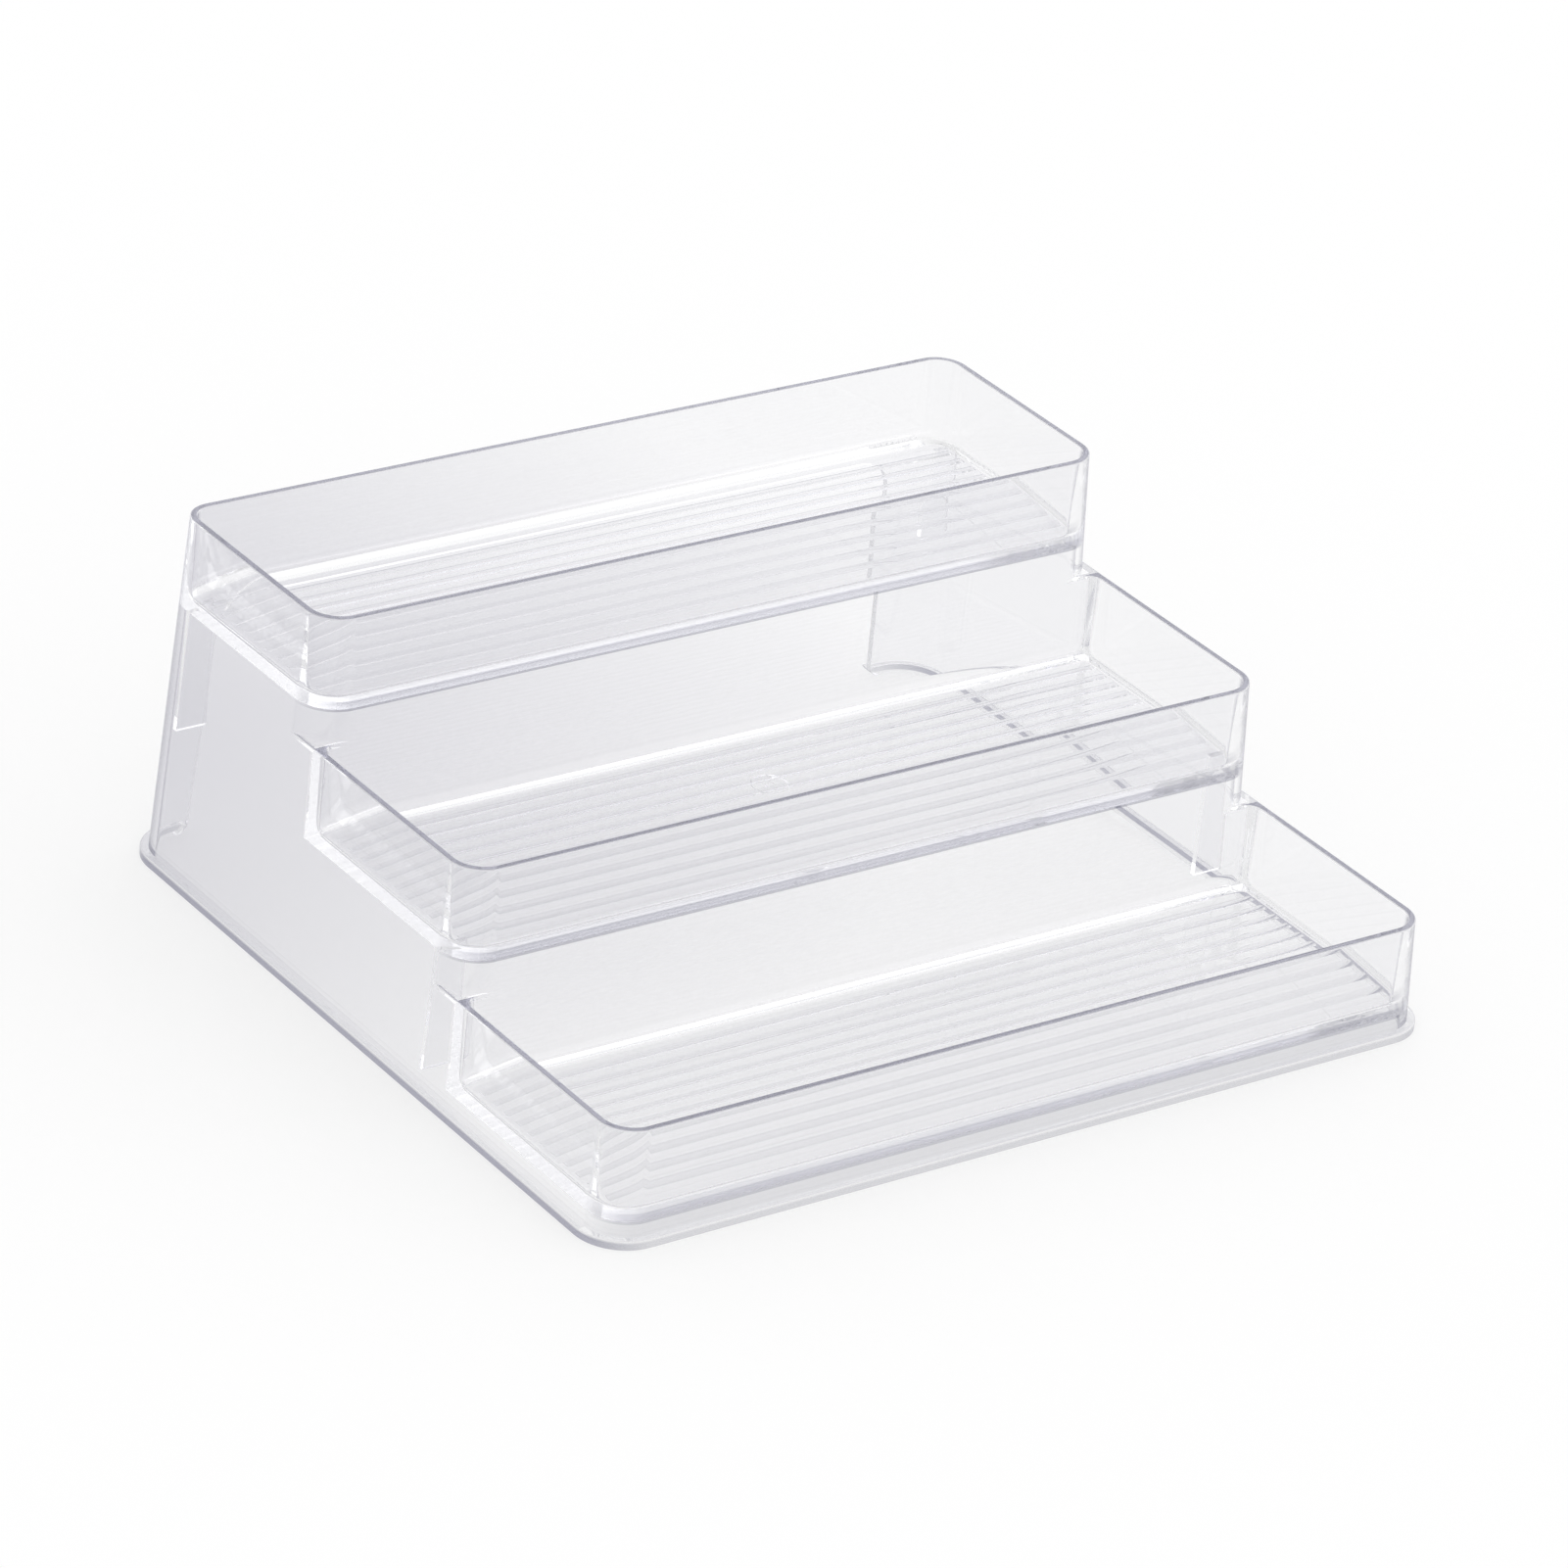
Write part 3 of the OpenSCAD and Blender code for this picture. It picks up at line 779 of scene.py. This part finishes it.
def build_moulding(sizes, ridges, low_sizes, materials):
    """The whole moulding as one closed shell."""
    pockets = stacked(
        "pockets", materials, *[pocket(sizes, tier) for tier in TIERS], foot_shade_class=TRAY_FLOORS)
    opening = new_piece("opening", lambda shape: add_opening(sizes, low_sizes, shape), materials)
    lugs = new_piece("lugs", lambda shape: add_lugs(sizes, low_sizes, shape), materials)
    gate = new_piece("gate", lambda shape: add_gate(sizes, low_sizes, shape), materials)
    moulding = outer_form(sizes, materials)
    combine(moulding, hollow_form(sizes, materials), "DIFFERENCE")
    combine(moulding, pockets, "DIFFERENCE")
    combine(moulding, opening, "DIFFERENCE")
    combine(moulding, lugs, "UNION")
    combine(moulding, ridge_form(sizes, ridges, materials), "UNION")
    combine(moulding, gate, "DIFFERENCE")
    split_rims(sizes, moulding)
    return moulding


def split_rims(sizes, moulding):
    """Parts the flat of each rim from the small flat beside the next riser's corner, which gets no painted
    shade.
    """
    shape = bmesh.new()
    shape.from_mesh(moulding.data)
    for tier in TIERS[:-1]:
        top = rim(sizes, tier)
        riser = front_y(sizes, tier + 1, top)
        level = [f for f in shape.faces if f.normal.z > LEVEL_NORMAL]
        flat = [f for f in level if abs(f.calc_center_median().z - top) < LEVEL_SLACK]
        parts = list(dict.fromkeys(part for f in flat for part in (f, *f.edges, *f.verts)))
        bmesh.ops.bisect_plane(shape, geom=parts, plane_co=(0, riser, 0), plane_no=(0, 1, 0))
        for f in shape.faces:
            middle = f.calc_center_median()
            if f.material_index == PAINTED_SHADE_RIMS and abs(middle.z - top) < SUNK and middle.y > riser:
                f.material_index = CLEAR_WALLS
    shape.to_mesh(moulding.data)
    shape.free()


def smooth(piece):
    """Checks that the piece is closed, and shades its round parts smooth and its flat parts flat."""
    shape = bmesh.new()
    shape.from_mesh(piece.data)
    bmesh.ops.remove_doubles(shape, verts=shape.verts, dist=GRID)
    bmesh.ops.dissolve_degenerate(shape, edges=shape.edges, dist=TINY)
    loose = [e for e in shape.edges if len(e.link_faces) != 2]
    if loose:
        raise RuntimeError(f"{piece.name} has {len(loose)} edges that are not between two faces")
    shape.to_mesh(piece.data)
    shape.free()
    piece.data.shade_smooth()
    piece.data.set_sharp_from_angle(angle=SHARP_ANGLE)
    weighted = piece.modifiers.new("even faces", "WEIGHTED_NORMAL")
    weighted.keep_sharp = True
    weighted.weight = LARGEST_FACE_WEIGHT
    carry_out_modifiers(piece)


def node(tree, kind, settings=None, values=None):
    """Adds a node, sets it up and feeds its sockets with plain values or with other sockets."""
    made = tree.nodes.new(kind)
    for name, value in (settings or {}).items():
        setattr(made, name, value)
    for name, value in (values or {}).items():
        if isinstance(value, bpy.types.NodeSocket):
            tree.links.new(value, made.inputs[name])
        else:
            made.inputs[name].default_value = value
    return made


def pick(mix, letter):
    """The colour input of a Mix node."""
    return next(s for s in mix.inputs if s.name == letter and s.type == "RGBA")


def picked_result(mix):
    """The colour output of a Mix node."""
    return next(s for s in mix.outputs if s.type == "RGBA")


def empty_material(name):
    """A material without nodes, and its tree."""
    material = bpy.data.materials.new(name)
    material.use_nodes = True
    material.node_tree.nodes.clear()
    return material, material.node_tree


def clear_plastic(colours):
    """Clear acrylic from a polished injection mould.

    It shows what is behind it, a little greyer. Rims, lip, floors, ridges, bands and opening edges carry
    painted lavender shade.
    """
    material, tree = empty_material("clear_acrylic_with_painted_shade")
    place = node(tree, "ShaderNodeTexCoord").outputs["Object"]
    edges = node(tree, "ShaderNodeAttribute", {"attribute_name": PAINTED_SHADE_ATTRIBUTE}).outputs["Fac"]
    # Painted shade: marked faces mix the walls' tint with the darker lavender edge colour, for light that
    # ran along a wall to a rim.
    # So do faces that turn away from the eye, for light that comes round a corner to it.
    turned = node(tree, "ShaderNodeLayerWeight").outputs["Facing"]
    glancing = node(tree, "ShaderNodeMapRange", {}, {
        "Value": turned, "From Min": colours.glancing_start, "From Max": colours.glancing_end,
        "To Max": colours.glancing}).outputs["Result"]
    share = node(tree, "ShaderNodeMath", {"operation": "MAXIMUM"}, {0: edges, 1: glancing})
    tint = node(tree, "ShaderNodeMix", {"data_type": "RGBA"}, {"Factor": share.outputs[0]})
    pick(tint, "A").default_value = colours.walls
    pick(tint, "B").default_value = colours.edges
    # Slow swells left by the tool's polish bend reflections a little
    swell = node(tree, "ShaderNodeTexNoise", {}, {
        "Vector": place, "Scale": 1 / colours.swell_length, "Detail": 1.0})
    bump = node(tree, "ShaderNodeBump", {}, {
        "Height": swell.outputs["Fac"], "Strength": colours.swell_strength,
        "Distance": colours.swell_height})
    # Any roughness takes some light at every inner reflection, and would turn the floors' bright ends grey
    shader = node(tree, "ShaderNodeBsdfPrincipled", {}, {
        "Base Color": picked_result(tint), "Roughness": colours.roughness, "IOR": colours.refraction,
        "Transmission Weight": 1.0, "Normal": bump.outputs["Normal"]})
    depth = node(tree, "ShaderNodeVolumeAbsorption", {}, {
        "Color": colours.depth, "Density": colours.depth_density})
    node(tree, "ShaderNodeOutputMaterial", {}, {
        "Surface": shader.outputs["BSDF"], "Volume": depth.outputs["Volume"]})
    return material


def mark_faces(piece, colours):
    """Notes how much painted lavender shade each face has, and leaves the shell a single material."""
    mesh = piece.data
    shares = []
    for polygon in mesh.polygons:
        normal = polygon.normal
        # The painted shade fades out over a rim's rounding, and a riser's face beside a rim has none
        top_share = min(max((normal.z - RIM_SHADE_START) / RIM_SHADE_STRETCH, 0.0), 1.0)
        # Painted bands are only on faces that look forwards, and the lip's sides get more painted shade than
        # its front
        front_share = max(-normal.y, 0.0)
        side_share = LIP_FRONT_SHARE + LIP_SIDE_MORE * abs(normal.x)
        share_of = {
            CLEAR_WALLS: 0.0,
            TRAY_FLOORS: colours.floor,
            PAINTED_SHADE_RIMS: top_share,
            PAINTED_SHADE_LIP: colours.lip * (1 - abs(normal.z)) * side_share,
            LIP_FOOT: colours.lip,
            LOW_RIDGES: colours.ridge,
            PAINTED_FLOOR_BAND: colours.band * front_share,
            OPENING_EDGES: colours.opening,
            PAINTED_SOFT_BAND: colours.soft_band * front_share,
        }
        shares.append(share_of[polygon.material_index])
    mesh.attributes.new(PAINTED_SHADE_ATTRIBUTE, "FLOAT", "FACE").data.foreach_set("value", shares)
    mesh.polygons.foreach_set("material_index", [CLEAR_WALLS] * len(mesh.polygons))
    mesh.materials.clear()
    mesh.materials.append(clear_plastic(colours))


def glow_share(tree, settings):
    """Share of the paper's glow: one to the camera or off a mirror, one through the plastic, else none."""
    path = node(tree, "ShaderNodeLightPath")
    direct = node(tree, "ShaderNodeMath", {"operation": "MAXIMUM"}, {
        0: path.outputs["Is Camera Ray"], 1: path.outputs["Is Glossy Ray"]})
    plain = node(tree, "ShaderNodeMath", {"operation": "MULTIPLY"}, {0: direct.outputs[0], 1: settings.glow})
    # A ray through the plastic counts as a mirror's ray too, so its share takes the other's place
    return node(tree, "ShaderNodeMapRange", {}, {
        "Value": path.outputs["Is Transmission Ray"], "To Min": plain.outputs[0],
        "To Max": settings.glow_through}).outputs["Result"]


def light_room(settings):
    """White room, brighter towards its soft key light. The camera sees plain white behind the object."""
    world = bpy.data.worlds.new("studio")
    bpy.context.scene.world = world
    world.use_nodes = True
    tree = world.node_tree
    tree.nodes.clear()
    way = node(tree, "ShaderNodeTexCoord").outputs["Generated"]
    towards = node(tree, "ShaderNodeVectorMath", {"operation": "DOT_PRODUCT"}, {
        0: way, 1: Vector(settings.key_way).normalized()})
    side = node(tree, "ShaderNodeMapRange", {}, {
        "Value": towards.outputs["Value"], "From Min": KEY_START, "From Max": 1.0,
        "To Min": settings.room_light, "To Max": settings.key_light})
    height = node(tree, "ShaderNodeSeparateXYZ", {}, {"Vector": way}).outputs["Z"]
    upper = node(tree, "ShaderNodeMapRange", {"interpolation_type": "SMOOTHSTEP"}, {
        "Value": height, "From Min": CEILING_START, "From Max": CEILING_END, "To Min": 1.0,
        "To Max": settings.ceiling})
    light = node(tree, "ShaderNodeMath", {"operation": "MULTIPLY"}, {
        0: side.outputs["Result"], 1: upper.outputs["Result"]})
    room = node(tree, "ShaderNodeBackground", {}, {"Color": WHITE, "Strength": light.outputs[0]})
    plain = node(tree, "ShaderNodeBackground", {}, {"Color": WHITE, "Strength": 1.0})
    path = node(tree, "ShaderNodeLightPath")
    both = node(tree, "ShaderNodeMixShader", {}, {
        "Fac": path.outputs["Is Camera Ray"], 1: room.outputs[0], 2: plain.outputs[0]})
    node(tree, "ShaderNodeOutputWorld", {}, {"Surface": both.outputs[0]})


def floor_material(settings):
    """Plain white paper floor, part glow and part the object's shadow, with a painted shadow seen through
    the plastic.
    """
    material, tree = empty_material("white_paper_with_painted_shadow")
    paper = node(tree, "ShaderNodeBsdfDiffuse", {}, {"Color": settings.paper})
    # Painted shadow: seen through the plastic, the paper darkens near one place, as if away from the key
    # light
    place = node(tree, "ShaderNodeTexCoord").outputs["Object"]
    gap = node(tree, "ShaderNodeVectorMath", {"operation": "DISTANCE"}, {0: place, 1: settings.painted_shadow_place})
    near = node(tree, "ShaderNodeMapRange", {}, {
        "Value": gap.outputs["Value"], "From Max": settings.painted_shadow_reach, "To Min": 1.0, "To Max": 0.0})
    path = node(tree, "ShaderNodeLightPath")
    painted_shadow_share = node(tree, "ShaderNodeMath", {"operation": "MULTIPLY"}, {
        0: path.outputs["Is Transmission Ray"], 1: near.outputs["Result"]})
    level = node(tree, "ShaderNodeMix", {"data_type": "RGBA"}, {"Factor": painted_shadow_share.outputs[0]})
    pick(level, "A").default_value = WHITE
    pick(level, "B").default_value = settings.painted_shadow_colour
    glow = node(tree, "ShaderNodeEmission", {}, {"Color": picked_result(level), "Strength": 1.0})
    both = node(tree, "ShaderNodeMixShader", {}, {
        "Fac": glow_share(tree, settings), 1: paper.outputs[0], 2: glow.outputs[0]})
    node(tree, "ShaderNodeOutputMaterial", {}, {"Surface": both.outputs[0]})
    return material


def place_camera(settings):
    """Camera at the photograph's viewing angle."""
    lens = bpy.data.cameras.new("camera")
    lens.sensor_width = SENSOR_WIDTH
    lens.lens = settings.lens
    lens.clip_end = SIGHT
    camera = bpy.data.objects.new("camera", lens)
    bpy.context.scene.collection.objects.link(camera)
    bpy.context.scene.camera = camera
    a, e = settings.azimuth, settings.elevation
    look = Vector((math.sin(a) * math.cos(e), math.cos(a) * math.cos(e), -math.sin(e)))
    camera.location = Vector(settings.target) - look * settings.distance
    upright = look.to_track_quat("-Z", "Y").to_matrix()
    camera.rotation_euler = (upright @ Matrix.Rotation(settings.roll, 3, "Z")).to_euler()


class ORGANIZER_OT_moulding(bpy.types.Operator):
    """Builds the clear moulding in place of the frame's regions"""

    bl_idname = "organizer.moulding"
    bl_label = "Clear moulding"

    def execute(self, context):
        scene = context.scene
        shade_class_materials = [bpy.data.materials.new(name) for name in SHADE_CLASSES]
        moulding = build_moulding(scene.organizer_sizes, scene.ridge_sizes, scene.underside_sizes, shade_class_materials)
        smooth(moulding)
        mark_faces(moulding, scene.plastic_colours)
        for shade_class in shade_class_materials:
            bpy.data.materials.remove(shade_class)
        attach(moulding, "root")
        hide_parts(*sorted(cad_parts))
        return {"FINISHED"}


class ORGANIZER_OT_studio(bpy.types.Operator):
    """Adds the floor, the light and the camera"""

    bl_idname = "organizer.studio"
    bl_label = "Studio"

    def execute(self, context):
        scene = context.scene
        settings = scene.studio_settings

        def make(shape):
            bmesh.ops.create_grid(shape, x_segments=1, y_segments=1, size=FLOOR_HALF)

        floor = new_piece("studio_floor", make, (floor_material(settings),))
        light_room(settings)
        place_camera(settings)
        scene.view_settings.view_transform = "Standard"
        scene.cycles.max_bounces = INNER_REFLECTIONS
        scene.cycles.glossy_bounces = INNER_REFLECTIONS
        scene.cycles.transmission_bounces = INNER_REFLECTIONS
        return {"FINISHED"}


class ORGANIZER_PT_panel(bpy.types.Panel):
    """Sizes and builders of the organizer"""

    bl_label = "Organizer"
    bl_idname = "ORGANIZER_PT_panel"
    bl_space_type = "VIEW_3D"
    bl_region_type = "UI"
    bl_category = "Organizer"

    def draw(self, context):
        for name, _, label, builder in SETTINGS:
            box = self.layout.box()
            box.label(text=label)
            group = getattr(context.scene, name)
            for key in group.bl_rna.properties.keys():
                if key not in ("rna_type", "name"):
                    box.prop(group, key)
            if builder:
                box.operator(builder)


# For each group of settings its place on the scene, its class, its heading and the operator under it
SETTINGS = (
    ("organizer_sizes", OrganizerSizes, "Steps and walls", ""),
    ("ridge_sizes", RidgeSizes, "Floor ridges", ""),
    ("underside_sizes", UndersideSizes, "Underside", ""),
    ("plastic_colours", PlasticColours, "Plastic", ORGANIZER_OT_moulding.bl_idname),
    ("studio_settings", StudioSettings, "Studio", ORGANIZER_OT_studio.bl_idname),
)
GROUPS = tuple(group for _, group, _, _ in SETTINGS)
CLASSES = (*GROUPS, ORGANIZER_OT_moulding, ORGANIZER_OT_studio, ORGANIZER_PT_panel)


def register():
    for cls in CLASSES:
        bpy.utils.register_class(cls)
    for name, group, _, _ in SETTINGS:
        setattr(bpy.types.Scene, name, bpy.props.PointerProperty(type=group))


def unregister():
    for name, _, _, _ in SETTINGS:
        delattr(bpy.types.Scene, name)
    for cls in reversed(CLASSES):
        bpy.utils.unregister_class(cls)


def main():
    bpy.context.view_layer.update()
    register()
    bpy.ops.organizer.moulding()
    bpy.ops.organizer.studio()


if __name__ == "__main__":
    main()
